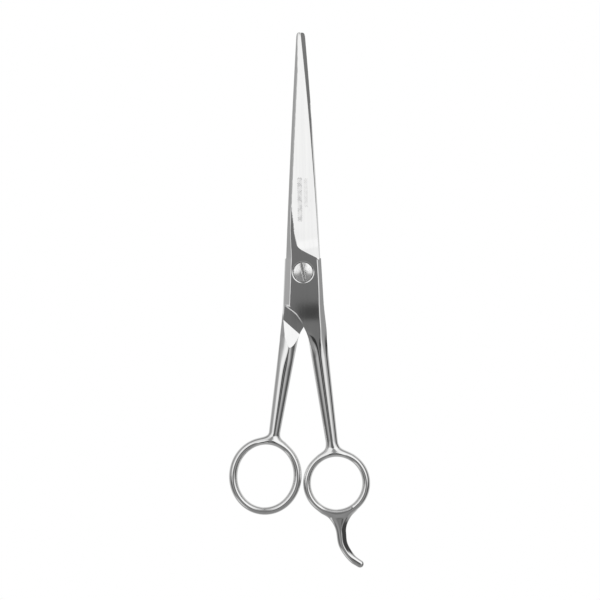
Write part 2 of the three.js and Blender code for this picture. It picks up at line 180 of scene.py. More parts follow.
# What differs between the halves: the back of the blade, as EDGE_BOW; the shank's middle and half width at
# its top, with their changes for each millimetre down from there; the outlines that lead into it; where it
# flares into the ring; half the ring's width and height; half the band's width at the ring's sides and top.
FINGER = {
    "back_bow": (-1.75, -4.5, -6.5),
    "shank_x": 5.52, "slope": 0.127, "half": 3.68, "taper": 0.0307,
    "crotch": ((1.0, -23.8), (1.55, -25.6)), "side": ((8.05, -13), (8.65, -19), (9.05, -23)),
    "root_z": -66.8, "root_end": -72.2, "inner_flare": 0.07, "outer_flare": 0.11,
    "ring": (12.35, -83.4), "ring_half": (11.7, 11.75), "turn": 0.0, "band": (1.6, 1.42), "fillet": 1.6,
}
THUMB = {
    "back_bow": (-1.8, -5.05, -6.7),
    "shank_x": 5.95, "slope": 0.165, "half": 3.6, "taper": 0.036,
    "crotch": ((1.15, -23.5), (1.85, -25.2)), "side": ((8.05, -13), (8.6, -19), (9.1, -23)),
    "root_z": -62.9, "root_end": -67.1, "inner_flare": 0.08, "outer_flare": 0.25,
    "ring": (15.7, -80.3), "ring_half": (12.7, 13.85), "turn": math.radians(7), "band": (1.7, 1.5),
    "fillet": 1.6,
}

REST_LINE = (
    # X and Z along the middle of the finger rest
    (13.1, -91.6), (13.4, -94.6), (14, -103), (14.9, -108.2), (18.3, -113.2), (22.6, -116.2),
)
REST_HALF = 2.35
REST_END_HALF = 1.5
REST_ROOT = 8.0                       # extra half width at the very root, fading over its length
REST_ROOT_LENGTH = 11.5
REST_WIDEST = 6.3
REST_FLAT = 1.65
REST_DEPTH = 1.9
REST_END_DEPTH = 1.35
REST_FLAT_FADE = (0.5, 0.95)          # shares of the rest's length, as in the next fade
REST_FACET = 1.95                     # width of the facet for the finger
REST_FACET_TURN = math.radians(42)
REST_FACET_FADE = (0.66, 0.9)
REST_FLAT_SOFTNESS = 0.3
REST_FACET_SOFTNESS = 0.2
REST_FILLET = 1.2
REST_REACH = (2, -88)                 # the rest and its fillet lie right of this X and below this Z

# ---------------------------------------------------------------- dimensions of the holes and the pivot screw

HOLE_RADIUS = 2.62
HEAD_HOLE_RADIUS = 4.05
HEAD_HOLE_RIM = 0.38                  # width of the shallow bevel round the head's recess
HEAD_HOLE_RIM_TURN = math.radians(24)
HEAD_HOLE_RIM_END_Y = -2.0
HEAD_SEAT_Y = -2.5
CONE_END_Y = -1.2
LEAD_IN = 0.2
LEAD_IN_END_Y = 1
NOT_HERE = 1.0                        # for the function of something to take away, where it takes nothing

HEAD_RADIUS = SCREW_HIGH[0]
HEAD_TOP_Y = SCREW_LOW[1] - MID_Y
HEAD_DOME = 0.8
HEAD_SOFTNESS = 0.3
SHAFT_RADIUS = 2.55
SCREW_END_Y = SCREW_HIGH[1] - MID_Y
END_BEVEL = 0.35
SEAT_CLEARANCE = 0.08
SLOT_HALF = 0.65
SLOT_DEPTH = 0.75
SLOT_TURN = math.radians(-11)
SLOT_FLOOR_SOFTNESS = 0.25
SLOT_LIP = 0.25                       # depth over which wear has widened the slot
SLOT_LIP_SLOPE = 0.35
SLOT_EDGE_SOFTNESS = 0.12
CONE_SCALE = 0.7                      # these two bring the function's steepness back to about 1
DOME_SCALE = 0.92

# ---------------------------------------------------------------- implicit building blocks


def smooth_min(a, b, radius):
    share = np.maximum(radius - np.abs(a - b), 0) / radius
    return np.minimum(a, b) - share * share * radius / 4


def smooth_max(a, b, radius):
    return -smooth_min(-a, -b, radius)


def ramp(value, start, end):
    """0 before start, 1 after end, smooth in between; start may be above end."""
    t = np.clip((value - start) / (end - start), 0, 1)
    return t * t * (3 - 2 * t)


def mix(a, b, share):
    return a + (b - a) * share


def spline(points, steps=40):
    """Points along a Catmull-Rom curve through the given points."""
    p = np.array([points[0], *points, points[-1]], float)
    t = np.linspace(0, 1, steps, endpoint=False)[:, None]
    pieces = []
    for a, b, c, d in zip(p, p[1:], p[2:], p[3:]):
        pieces.append(b + 0.5 * t * (c - a + t * (2 * a - 5 * b + 4 * c - d + t * (3 * (b - c) + d - a))))
    return np.vstack([*pieces, p[-1:]])


def x_at(points):
    """X as a function of Z along a smooth curve through points whose Z falls."""
    line = spline(points)[::-1]
    return lambda z: np.interp(z, line[:, 1], line[:, 0])


def z_at(points):
    """Z as a function of X along a smooth curve through points whose X grows."""
    line = spline(points)
    return lambda x: np.interp(x, line[:, 0], line[:, 1])


def bow(z, values):
    """A parabola through three X values, at the shoulder, halfway (as a control point) and at the heel."""
    t = (SHOULDER_Z - z) / (SHOULDER_Z - HEEL_Z)
    return (1 - t) ** 2 * values[0] + 2 * t * (1 - t) * values[1] + t * t * values[2]


def corner(a, b, size):
    """An elliptic corner between the faces a = 1 and b = 1, straight where a or b is below 0."""
    outside = np.hypot(np.maximum(a, 0), np.maximum(b, 0))
    return (np.where(outside > 0, outside, np.maximum(a, b)) - 1) * size


def chamfer(inwards, downwards, width, turn):
    """A plane that cuts an edge: inwards from one face, downwards (negative) from the other, at a turn."""
    return (width - inwards) * np.sin(turn) + downwards * np.cos(turn)


# ---------------------------------------------------------------- blade

run_out_x = x_at(RUN_OUT)
run_out_z = z_at(RUN_OUT)


def heel_scoop(x, z, flat):
    """The flat, rounded down towards its corner beside the heel of the cutting edge."""
    to_corner = ((x - HEEL_SCOOP[0]) * math.cos(HEEL_SCOOP_HEADING)
                 + (z - HEEL_SCOOP[1]) * math.sin(HEEL_SCOOP_HEADING))
    scoop = (flat + HEEL_SCOOP_SLOPE * to_corner) / math.hypot(1, HEEL_SCOOP_SLOPE)
    return np.where(z < HEEL_SCOOP_TOP_Z, smooth_max(flat, scoop, HEEL_SCOOP_SOFTNESS), flat)


def blade_back(z, side):
    """X of the blade's back, which bends inwards at the point."""
    past_shoulder = np.clip((z - SHOULDER_Z) / (POINT_Z - SHOULDER_Z), 0, 1)
    return mix(bow(z, side["back_bow"]), POINT_BACK_X, past_shoulder ** 3)


def back_ridge(z, back, edge):
    """The ridge between back bevel and ground face: its X, its depth, and the slope of the bevel."""
    towards_point = smooth_max((z - GRIND_END_Z) / (SHOULDER_Z - GRIND_END_Z), 0, GRIND_END_SOFTNESS)
    depth = mix(FLAT_DEPTH, POINT_RIDGE_DEPTH, np.minimum(towards_point, RIDGE_FALL_END))
    share = ramp(z, BEVEL_GROWS_Z, HEEL_STEP_Z)
    narrow = np.minimum(BACK_BEVEL, BEVEL_SHARE * (edge - back))
    wide = FLAT_TOP_BACK_X + WIDE_BEVEL - back
    bevel = mix(narrow, wide, share)
    drop = mix(BEVEL_SLOPE * narrow, WIDE_BEVEL_SLOPE * wide, share)
    return back + bevel, depth, drop / bevel


def ground_face(x, z, ridge, ridge_depth, edge):
    """Depth of the face ground down to the cutting edge, running out above the pivot, and its steepness."""
    run_out = np.maximum(run_out_x(smooth_max(z, RUN_OUT_BEND_Z, RUN_OUT_BEND_SOFTNESS)), ridge)
    start = np.minimum(np.where(z > GRIND_END_Z, ridge, run_out), edge - NARROWEST_GRIND)
    fall = (ridge_depth - EDGE_DEPTH) / (edge - start)
    ground = (start - x) * fall + ridge_depth
    plunge = FLAT_DEPTH - RUN_OUT_SLOPE * (z - run_out_z(x))
    softness = mix(*RUN_OUT_SOFTNESS, ramp(z, RUN_OUT_BEND_Z, RUN_OUT_SHARP_Z))
    return smooth_max(ground, plunge, softness), np.sqrt(1 + np.minimum(fall, STEEPEST_GRIND) ** 2)


def blade_inner_face(x, y, z, back, edge):
    """The inner face: a hollow between two flat lands, and a bevel along the back."""
    half_hollow = (edge - back - RIDE_WIDTH - BACK_LAND) / 2
    across = (x - back - BACK_LAND - half_hollow) / np.maximum(half_hollow, 0.1)
    hollow = HOLLOW * np.clip(1 - across ** 2, 0, 1) * ramp(z, *HOLLOW_Z) * ramp(half_hollow, *HOLLOW_FADE)
    bevel_width = INNER_BEVEL * ramp(z, *INNER_BEVEL_Z)
    return np.maximum(y - INNER_Y + hollow, chamfer(x - back, y - INNER_Y, bevel_width, INNER_BEVEL_TURN))


def blade(x, y, z, side):
    """The blade above the heel."""
    back = blade_back(z, side)
    edge = bow(z, EDGE_BOW)
    ridge, ridge_depth, slope = back_ridge(z, back, edge)
    ground, steepness = ground_face(x, z, ridge, ridge_depth, edge)
    outer = np.maximum((-y - ground) / steepness, heel_scoop(x, z, -y - FLAT_DEPTH))
    back_bevel = (-y - ridge_depth + slope * (ridge - x)) / np.sqrt(1 + slope ** 2)
    rounding = corner((back + POINT_RADIUS - x) / POINT_RADIUS, (z - POINT_Z + POINT_RADIUS) / POINT_RADIUS,
                      POINT_RADIUS)
    solid = np.maximum(smooth_max(outer, back_bevel, SOFT_EDGE), x - edge)
    solid = np.maximum(solid, rounding)
    solid = np.maximum(solid, blade_inner_face(x, y, z, back, edge))
    return np.maximum(solid, BLADE_FOOT_Z - z)


# ---------------------------------------------------------------- flat and shank


def with_curves(side):
    """Adds the outline curves of the part between the lower corner and the straight shank, and the share of a
    level distance from the left one that is left when it is taken square to that curve."""
    next_z = SHANK_TOP_Z - OUTLINE_LEAD
    left_x = side["shank_x"] - side["half"]
    left_next_x = left_x + OUTLINE_LEAD * (side["slope"] + side["taper"])
    right_x = side["shank_x"] + side["half"]
    right_next_x = right_x + OUTLINE_LEAD * (side["slope"] - side["taper"])
    left = x_at((*CROTCH, *side["crotch"], (left_x, SHANK_TOP_Z), (left_next_x, next_z)))
    right = x_at((SIDE_START, *side["side"], (right_x, SHANK_TOP_Z), (right_next_x, next_z)))
    heights = np.arange(SHANK_TOP_Z, CORNER_Z, OUTLINE_SPACING)
    lean_share = 1 / np.hypot(1, np.gradient(left(heights), heights))
    return {**side, "left_curve": left, "right_curve": right,
            "left_lean": lambda z: np.interp(z, heights, lean_share), "side_bevel": x_at(SIDE_BEVEL)}


def body_outline(z, side):
    """X of the left and the right side of flat and shank."""
    fall = SHANK_TOP_Z - z
    middle_x = side["shank_x"] + side["slope"] * fall
    half_width = side["half"] - side["taper"] * fall
    flare = FLAT_FLARE * (HEEL_STEP_Z - z)
    left = np.where(z > SHANK_TOP_Z, side["left_curve"](z), middle_x - half_width)
    left = np.where(z > CORNER_Z, FLAT_TOP_BACK_X - flare, left)
    right = np.where(z > SHANK_TOP_Z, side["right_curve"](z), middle_x + half_width)
    right = np.where(z > CORNER_Z, FLAT_TOP_EDGE_X + flare, right)
    below_root = np.clip(side["root_z"] - z, 0, side["root_z"] - side["root_end"]) ** 2
    return left - side["inner_flare"] * below_root, right + side["outer_flare"] * below_root


def body_outer_side(x, y, z, left, right, side):
    """The outer flat and the bevels along it, which pass into the oval of the shank."""
    thinning = np.clip((SHANK_THINS_Z - z) / (SHANK_THINS_Z - side["root_z"]), 0, 1)
    depth = mix(FLAT_DEPTH, SHANK_END_DEPTH, thinning)
    flat = -y - depth
    oval = corner(np.abs(x - (left + right) / 2) / ((right - left) / 2), -y / depth, OVAL_SCALE)

    side_bevel = chamfer(right - x, flat, side["side_bevel"](z), SIDE_BEVEL_TURN)
    right_side = smooth_max(flat, side_bevel, SIDE_BEVEL_SOFTNESS)
    right_side = np.maximum(np.maximum(right_side, heel_scoop(x, z, flat)), x - right)

    wide_bevel = (flat + WIDE_BEVEL_SLOPE * (left + WIDE_BEVEL - x)) / math.hypot(1, WIDE_BEVEL_SLOPE)
    wide_bevel = np.maximum(smooth_max(flat, wide_bevel, SOFT_EDGE), left - x)
    inwards = (x - left) * side["left_lean"](z)
    crotch = np.maximum(chamfer(inwards, flat, CROTCH_BEVEL, CROTCH_BEVEL_TURN), -inwards)
    left_side = mix(wide_bevel, np.maximum(crotch, flat), ramp(z, *CROTCH_BEVEL_Z))

    into_oval = ramp(z, *OVAL_Z)
    return np.maximum(mix(right_side, oval, into_oval), mix(left_side, oval, into_oval))


def body_inner_side(x, y, z, left, right, side):
    """The side of the shank towards the other half: a soft roof that rounds into an oval."""
    share = np.clip((SHANK_TOP_Z - z) / (SHANK_TOP_Z - side["root_z"]), 0, 1)
    bulge = mix(BACK_BULGE, SHANK_END_DEPTH, share)
    power = mix(*ROOF_POWER, ramp(z, *ROOF_POWER_Z))
    ridge_x = (left + right) / 2 - ROOF_RIDGE_SHIFT * ramp(z, *ROOF_RIDGE_Z)
    across = np.where(x > ridge_x, (x - ridge_x) / (right - ridge_x), (ridge_x - x) / (ridge_x - left))
    return ((np.abs(across) ** power + np.abs(y / bulge) ** power) ** (1 / power) - 1) * ROOF_SCALE


def body(x, y, z, side):
    """The flat round the pivot and the shank, down to the root of the ring."""
    left, right = body_outline(z, side)
    solid = body_outer_side(x, y, z, left, right, side)
    solid = np.maximum(solid, np.where(y > 0, body_inner_side(x, y, z, left, right, side), solid))
    bevel = INNER_SIDE_BEVEL - INNER_SIDE_BEVEL_LOSS * ramp(z, *INNER_SIDE_BEVEL_LOSS_Z)
    turn = mix(INNER_BEVEL_TURN, INNER_SIDE_BEVEL_END_TURN, ramp(z, *INNER_SIDE_BEVEL_TURN_Z))
    solid = np.maximum(solid, chamfer(right - x, y - INNER_Y, bevel, turn))
    past_step = x * math.sin(STEP_TURN) - z * math.cos(STEP_TURN) - STEP_DISTANCE
    step = (y - INNER_Y - STEP_SLOPE * np.maximum(past_step, 0)) / math.hypot(1, STEP_SLOPE)
    solid = np.maximum(solid, step)
    solid = np.maximum(solid, z - HEEL_STEP_Z)
    solid = np.maximum(solid, side["ring"][1] - z)
    return np.maximum(solid, -ring_outline(x, z, side)[0])


# ---------------------------------------------------------------- ring and finger rest


def ring_outline(x, z, side):
    """Distance outwards from the middle line of the ring's band, and how far round towards its sides."""
    dx = x - side["ring"][0]
    dz = z - side["ring"][1]
    u = dx * math.cos(side["turn"]) + dz * math.sin(side["turn"])
    v = dz * math.cos(side["turn"]) - dx * math.sin(side["turn"])
    a, b = side["ring_half"]
    size = np.maximum(np.hypot(u / a, v / b), 1e-3)
    steepness = np.maximum(np.hypot(u / a ** 2, v / b ** 2) / size, 1e-3)
    return (size - 1) / steepness, (u / a) ** 2 / size ** 2


def ring(x, y, z, side):
    """The ring: a band with an elliptic section."""
    distance, round_share = ring_outline(x, z, side)
    band = mix(side["band"][1], side["band"][0], round_share)
    return (np.hypot(distance / band, y / RING_DEPTH) - 1) * band


def rest_path():
    """Middle line of the finger rest without its rounded end, and the distance along it."""
    line = spline(REST_LINE, 30)
    along = np.concatenate([[0], np.cumsum(np.hypot(*np.diff(line, axis=0).T))])
    length = along[-1]
    keep = along <= length - REST_END_HALF
    return line[keep], along[keep] / length, length


rest_line, rest_share, rest_length = rest_path()


def nearest_on_rest(x, z):
    """Distance from the rest's middle line, the same with a sign (positive on the finger's side), and the
    share of the line's length that lies before the nearest point."""
    nearest = np.full(x.shape, np.inf)
    signed = np.zeros(x.shape)
    share = np.zeros(x.shape)
    stretches = zip(rest_line, rest_line[1:], rest_share, rest_share[1:])
    for (start_x, start_z), (end_x, end_z), before, after in stretches:
        run_x = end_x - start_x
        run_z = end_z - start_z
        t = ((x - start_x) * run_x + (z - start_z) * run_z) / (run_x ** 2 + run_z ** 2)
        t = np.clip(t, 0, 1)
        off_x = x - start_x - t * run_x
        off_z = z - start_z - t * run_z
        distance = np.hypot(off_x, off_z)
        near = distance < nearest
        nearest = np.where(near, distance, nearest)
        side_sign = np.where(off_z * run_x > off_x * run_z, 1, -1)
        signed = np.where(near, side_sign * distance, signed)
        share = np.where(near, mix(before, after, t), share)
    return nearest, signed, share


def finger_rest(x, y, z):
    """The curved rest: oval, with a flat outer side and a facet where the finger lies."""
    nearest, signed, share = nearest_on_rest(x, z)
    root = np.maximum(1 - share * rest_length / REST_ROOT_LENGTH, 0) ** 2
    half = np.minimum(mix(REST_HALF, REST_END_HALF, share) + REST_ROOT * root, REST_WIDEST)
    depth = mix(REST_DEPTH, REST_END_DEPTH, share)
    oval = (np.hypot(nearest / half, y / depth) - 1) * np.minimum(half, depth)
    flat = -y - mix(REST_FLAT, REST_END_DEPTH, ramp(share, *REST_FLAT_FADE))
    facet = chamfer(half - signed, -y - REST_FLAT, REST_FACET, REST_FACET_TURN)
    facet = mix(facet, oval, ramp(share, *REST_FACET_FADE))
    faces = smooth_max(smooth_max(oval, flat, REST_FLAT_SOFTNESS), facet, REST_FACET_SOFTNESS)
    return np.maximum(faces, -ring_outline(x, z, FINGER)[0])


# ---------------------------------------------------------------- holes, halves and screw


def screw_hole(x, y, z):
    """Plain hole, countersink, and the head's recess with its shallow bevel, as one shape to take away."""
    radius = np.hypot(x, z)
    cone_slope = (HEAD_HOLE_RADIUS - HOLE_RADIUS) / (CONE_END_Y - HEAD_SEAT_Y)
    cone = (radius - HOLE_RADIUS - cone_slope * np.maximum(CONE_END_Y - y, 0)) * CONE_SCALE
    head = np.maximum(np.minimum(cone, radius - HOLE_RADIUS), radius - HEAD_HOLE_RADIUS)
    rim = ((radius - HEAD_HOLE_RADIUS - HEAD_HOLE_RIM) * math.sin(HEAD_HOLE_RIM_TURN)
           + (y + FLAT_DEPTH) * math.cos(HEAD_HOLE_RIM_TURN))
    return np.minimum(head, np.where(y < HEAD_HOLE_RIM_END_Y, rim, NOT_HERE))


def plain_hole(x, y, z):
    """Plain hole with a small lead-in on the outer side, as one shape to take away."""
    radius = np.hypot(x, z)
    lead_in = (radius - HOLE_RADIUS - (np.abs(y) - FLAT_DEPTH + LEAD_IN)) * CONE_SCALE
    return np.minimum(radius - HOLE_RADIUS, np.where(y > LEAD_IN_END_Y, lead_in, NOT_HERE))


def half_solid(side, pierce, rest=None):
    """One half of the shears, with its hole and, on the finger's side, its rest."""
    side = with_curves(side)

    def solid(x, y, z):
        shape = np.minimum(blade(x, y, z, side), body(x, y, z, side))
        shape = smooth_min(shape, ring(x, y, z, side), side["fillet"])
        near = (x > REST_REACH[0]) & (z < REST_REACH[1])
        if rest is not None and near.any():
            shape[near] = smooth_min(shape[near], rest(x[near], y[near], z[near]), REST_FILLET)
        return np.maximum(shape, -pierce(x, y, z))
    return solid


def screw_solid(x, y, z):
    """Domed head with a worn slot, countersunk seat, plain shaft and bevelled end."""
    radius = np.hypot(x, z)
    dome = (HEAD_TOP_Y - y + HEAD_DOME * (radius / HEAD_RADIUS) ** 2) * DOME_SCALE
    head = smooth_max(radius - HEAD_RADIUS, dome, HEAD_SOFTNESS)
    cone_slope = (HEAD_RADIUS - SHAFT_RADIUS) / (CONE_END_Y - HEAD_SEAT_Y)
    cone = radius - SHAFT_RADIUS - cone_slope * np.maximum(CONE_END_Y - SEAT_CLEARANCE - y, 0)
    end = np.maximum(y - SCREW_END_Y, (radius - SHAFT_RADIUS + y - SCREW_END_Y + END_BEVEL) * CONE_SCALE)
    turned = np.maximum(np.maximum(head, cone * CONE_SCALE), end)
    across = x * math.cos(SLOT_TURN) - z * math.sin(SLOT_TURN)
    lip = np.maximum(HEAD_TOP_Y + SLOT_LIP - y, 0) * SLOT_LIP_SLOPE
    slot = smooth_max(np.abs(across) - SLOT_HALF - lip, y - HEAD_TOP_Y - SLOT_DEPTH, SLOT_FLOOR_SOFTNESS)
    return smooth_max(turned, -slot, SLOT_EDGE_SOFTNESS)


# ---------------------------------------------------------------- grids


def grid_lines(*stretches):
    """Grid lines: (start, end, spacing) for each stretch, in order."""
    parts = [np.arange(start, end, spacing) for start, end, spacing in stretches]
    return np.concatenate([*parts, [stretches[-1][1]]])


HALF_GRID = (
    grid_lines((-8.6, 31, 0.2)),
    grid_lines((-3.15, 2.8, 0.16)),
    grid_lines((-117.3, 12, 0.2), (12, 95.2, 0.41)),
)
SCREW_GRID = (
    grid_lines((-4.05, 4.05, 0.11)),
    grid_lines((-3.7, 2.85, 0.11)),
    grid_lines((-4.05, 4.05, 0.11)),
)
LEAN_FROM_Z = 12.0
SLAB = 48                             # heights that are worked out at a time


def lean(z, back_bow):
    """How far the grid is pushed sideways at each height, so that its lines run along the blade's back."""
    return bow(np.clip(z, LEAN_FROM_Z, SHOULDER_Z), back_bow) - bow(LEAN_FROM_Z, back_bow)


def leaning(field, back_bow):
    return lambda x, y, z: field(x + lean(z, back_bow), y, z)


def field_on_grid(field, grid):
    values = np.empty([len(lines) for lines in grid])
    for first in range(0, len(grid[2]), SLAB):
        slab = slice(first, first + SLAB)
        values[:, :, slab] = field(*np.meshgrid(grid[0], grid[1], grid[2][slab], indexing="ij"))
    return values


def grid_points(grid, index):
    return np.stack([grid[axis][index[:, axis]] for axis in range(3)], 1)


# ---------------------------------------------------------------- dual contouring

HALVINGS = 12
PULL_TO_MEAN = 0.006
LONGEST_MOVE = 0.05
LEAST_STEEPNESS = 0.3


def gradient(field, points, step=2e-3):
    """Direction in which the field grows at each point, and how steeply."""
    result = np.empty_like(points)
    for axis in range(3):
        shift = np.zeros(3)
        shift[axis] = step
        ahead, behind = points + shift, points - shift
        result[:, axis] = field(*ahead.T) - field(*behind.T)
    length = np.linalg.norm(result, axis=1, keepdims=True)
    return result / np.maximum(length, 1e-12), length[:, 0] / (2 * step)


def crossings(field, start, end):
    """Where the field changes sign on each segment, by halving."""
    low, high = np.zeros(len(start)), np.ones(len(start))
    inside = field(*start.T) < 0
    for _ in range(HALVINGS):
        middle = (low + high) / 2
        here = field(*(start + (end - start) * middle[:, None]).T) < 0
        same = here == inside
        low = np.where(same, middle, low)
        high = np.where(same, high, middle)
    return start + (end - start) * ((low + high) / 2)[:, None]


def faces_along(axis, field, grid, inside):
    """Crossings of the surface with the grid's edges along one axis, the four cells round each crossing,
    and the same cells in the order of a face that looks outwards."""
    lower = [slice(None)] * 3
    upper = [slice(None)] * 3
    lower[axis] = slice(0, -1)
    upper[axis] = slice(1, None)
    start_inside = inside[tuple(lower)]
    index = np.argwhere(start_inside != inside[tuple(upper)])
    step = np.eye(3, dtype=int)[axis]
    points = crossings(field, grid_points(grid, index), grid_points(grid, index + step))
    around = []
    for back_u, back_v in ((1, 1), (0, 1), (0, 0), (1, 0)):
        cell = index.copy()
        cell[:, (axis + 1) % 3] -= back_u
        cell[:, (axis + 2) % 3] -= back_v
        around.append(np.ravel_multi_index(cell.T, inside.shape))
    cells = np.stack(around, 1)
    forwards = start_inside[tuple(index.T)][:, None]
    return points, cells, np.where(forwards, cells, cells[:, ::-1])


def sharpest_points(points, normals, where, count):
    """The point of each cell that lies nearest to the planes through its crossings.

    where gives the four cells that each crossing belongs to. A slight pull to the mean of the crossings
    settles the point where the planes leave it free.
    """
    def gather(weights):
        return sum(np.bincount(where[:, c], weights, count) for c in range(4))

    number = gather(np.ones(len(points)))
    mean = np.stack([gather(points[:, a]) / number for a in range(3)], 1)
    plane = (normals * points).sum(1)
    matrix = np.empty((count, 3, 3))
    vector = np.empty((count, 3))
    for a in range(3):
        vector[:, a] = gather(normals[:, a] * plane)
        for b in range(3):
            matrix[:, a, b] = gather(normals[:, a] * normals[:, b])
    vector -= np.einsum("nij,nj->ni", matrix, mean)
    matrix += np.eye(3) * PULL_TO_MEAN
    return mean + np.linalg.solve(matrix, vector[:, :, None])[:, :, 0]


def onto_surface(field, vertices):
    """The vertices after two short moves along the field's gradient, on to the surface."""
    for _ in range(2):
        direction, steepness = gradient(field, vertices)
        move = field(*vertices.T) / np.maximum(steepness, LEAST_STEEPNESS)
        vertices = vertices - direction * np.clip(move, -LONGEST_MOVE, LONGEST_MOVE)[:, None]
    return vertices


def dual_contour(field, grid):
    """Vertices and four-sided faces of the surface where the field is 0."""
    inside = field_on_grid(field, grid) < 0
    points, cells, faces = map(np.vstack, zip(*(faces_along(axis, field, grid, inside) for axis in range(3))))
    used, where = np.unique(cells, return_inverse=True)
    vertices = sharpest_points(points, gradient(field, points)[0], where.reshape(cells.shape), len(used))
    cell = np.stack(np.unravel_index(used, inside.shape), 1)
    vertices = np.clip(vertices, grid_points(grid, cell), grid_points(grid, cell + 1))
    return onto_surface(field, vertices), np.searchsorted(used, faces)


# ---------------------------------------------------------------- pieces


def corner_normals(field, vertices, quads):
    """Normals at face corners. Two samples of the field, one and two fifths of the way to the middle of the
    face, are carried on to the corner, so that a ridge at the corner stays sharp."""
    corners = vertices[quads].reshape(-1, 3)
    middles = np.repeat(vertices[quads].mean(1), 4, axis=0)
    near, _ = gradient(field, mix(corners, middles, 1 / 5))
    far, _ = gradient(field, mix(corners, middles, 2 / 5))
    normals = 2 * near - far
    return normals / np.linalg.norm(normals, axis=1, keepdims=True)


def build(name, node, field, vertices, quads, turned=False):
    """The piece with these faces, shaded from the field and kept inside the box of its CAD node."""
    normals = corner_normals(field, vertices, quads)
    if turned:
        vertices = vertices * (-1, -1, 1)
        normals = normals * (-1, -1, 1)
    vertices = np.clip(vertices + (0, MID_Y, 0), *node_box(node))
    mesh = bpy.data.meshes.new(name)
    mesh.from_pydata((vertices * MM).tolist(), [], quads.tolist())
    mesh.polygons.foreach_set("use_smooth", np.ones(len(quads), bool))
    mesh.normals_split_custom_set(normals.tolist())
    mesh.update()
    piece = bpy.data.objects.new(name, mesh)
    bpy.context.scene.collection.objects.link(piece)
    return piece


def build_half(name, node, side, solid, turned=False):
    """A half, drawn on a grid that leans along the back of its blade."""
    vertices, quads = dual_contour(leaning(solid, side["back_bow"]), HALF_GRID)
    vertices[:, 0] += lean(vertices[:, 2], side["back_bow"])
    return build(name, node, solid, vertices, quads, turned)


def stand_for(piece, node, material):
    """Puts the piece in the place of its CAD node, on the body of the same name."""
    piece.data.materials.append(material)
    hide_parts(node)
    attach(piece, node)


# ---------------------------------------------------------------- node helpers


def grey(value):
    return (value, value, value, 1)


class Nodes:
    """Builds shader nodes. Inputs are numbers, tuples or the output sockets of other nodes."""

    def __init__(self, tree):
        self.tree = tree
        tree.nodes.clear()

    def add(self, kind, inputs=None, **settings):
        made = self.tree.nodes.new("ShaderNode" + kind)
        for name, value in settings.items():
            setattr(made, name, value)
        for name, value in (inputs or {}).items():
            socket = made.inputs[name]
            if isinstance(value, bpy.types.NodeSocket):
                self.tree.links.new(value, socket)
            else:
                socket.default_value = value
        return made

    def output(self, kind, shader):
        """Ends the tree: the shader goes to its material's or its world's output."""
        self.tree.links.new(shader.outputs[0], self.add("Output" + kind).inputs[0])

    def maths(self, operation, *values):
        return self.add("Math", dict(enumerate(values)), operation=operation).outputs[0]

    def product(self, first, *others):
        for other in others:
            first = self.maths("MULTIPLY", first, other)
        return first

    def step(self, value, start, end, low=0.0, high=1.0):
        """low before start, high after end and smooth in between."""
        inputs = {"Value": value, "From Min": start, "From Max": end, "To Min": low, "To Max": high}
        return self.add("MapRange", inputs, interpolation_type="SMOOTHSTEP").outputs[0]

    def mix(self, share, a, b):
        made = self.add("Mix", {0: share, 2: a, 3: b}, data_type="FLOAT")
        return made.outputs[0]

    def blend(self, share, a, b):
        made = self.add("Mix", {0: share, 6: a, 7: b}, data_type="RGBA")
        return made.outputs[2]

    def profile(self, position, stops):
        """A smooth curve through stops of (position from 0 to 1, value)."""
        made = self.add("ValToRGB", {0: position})
        curve = made.color_ramp
        curve.interpolation = "EASE"
        while len(curve.elements) < len(stops):
            curve.elements.new(0.5)
        for element, (where, value) in zip(curve.elements, stops):
            element.position = where
            element.color = grey(value)
        return made.outputs[0]

    def noise(self, vector, scale, detail, stretch=(1, 1, 1)):
        place = self.add("Mapping", {"Vector": vector, "Scale": stretch})
        inputs = {"Vector": place.outputs[0], "Scale": scale, "Detail": detail}
        return self.add("TexNoise", inputs).outputs[0]

    def bump(self, height, strength, distance, normal=None):
        inputs = {"Height": height, "Strength": strength, "Distance": distance}
        if normal is not None:
            inputs["Normal"] = normal
        return self.add("Bump", inputs).outputs[0]


def new_material(name):
    """An empty material, its node builder and the place on the object, in metres."""
    material = bpy.data.materials.new(name)
    material.use_nodes = True
    n = Nodes(material.node_tree)
    return material, n, n.add("TexCoord").outputs["Object"]


# ---------------------------------------------------------------- steels

MARK_ROWS = (
    # of the etched ornament on the front blade: middle X, half width, lowest and highest Z (mm), strength
    (-1.0, 0.94, 19.8, 37.3, 0.95),
    (1.4, 0.75, 25.6, 37.0, 0.5),
)
MARK_WEAVE = (0.75, 0.9)              # length of its pattern across and along the blade, in mm
MARK_FADE = 0.12
MARK_Y = (MID_Y - 0.3, MID_Y - 0.5)   # between these the etching sets in, towards the outer face
STEEL = (0.93, 0.93, 0.925, 1)
SMEARED_STEEL = grey(0.90)
LINED_STEEL = grey(0.86)
ETCHED_STEEL = grey(0.5)
SCREW_STEEL = (0.97, 0.97, 0.965, 1)
TURNING_PITCH = 0.16                  # distance between the rings that the lathe left, in mm


def etched_ornament(n, place):
    """Share of etching: two rows of a small woven pattern along the outer face, and nothing elsewhere."""
    x, y, z = n.add("SeparateXYZ", {0: place}).outputs
    waves = [n.maths("SINE", n.maths("MULTIPLY", value, 2 * math.pi / (length * MM)))
             for value, length in zip((x, z), MARK_WEAVE)]
    weave = n.step(n.product(*waves), -0.25, 0.15)
    worn = n.step(n.noise(place, scale=700, detail=1), 0.35, 0.6, low=0.45)
    rows = 0.0
    fade = MARK_FADE * MM
    for middle, half, low, high, strength in MARK_ROWS:
        off_middle = n.maths("ABSOLUTE", n.maths("SUBTRACT", x, middle * MM))
        row = n.product(n.step(off_middle, half * MM, half * MM - fade), strength,
                        n.step(z, low * MM, low * MM + fade), n.step(z, high * MM, high * MM - fade))
        rows = n.maths("MAXIMUM", rows, row)
    outside = n.step(y, MARK_Y[0] * MM, MARK_Y[1] * MM)
    return n.product(rows, weave, worn, outside)


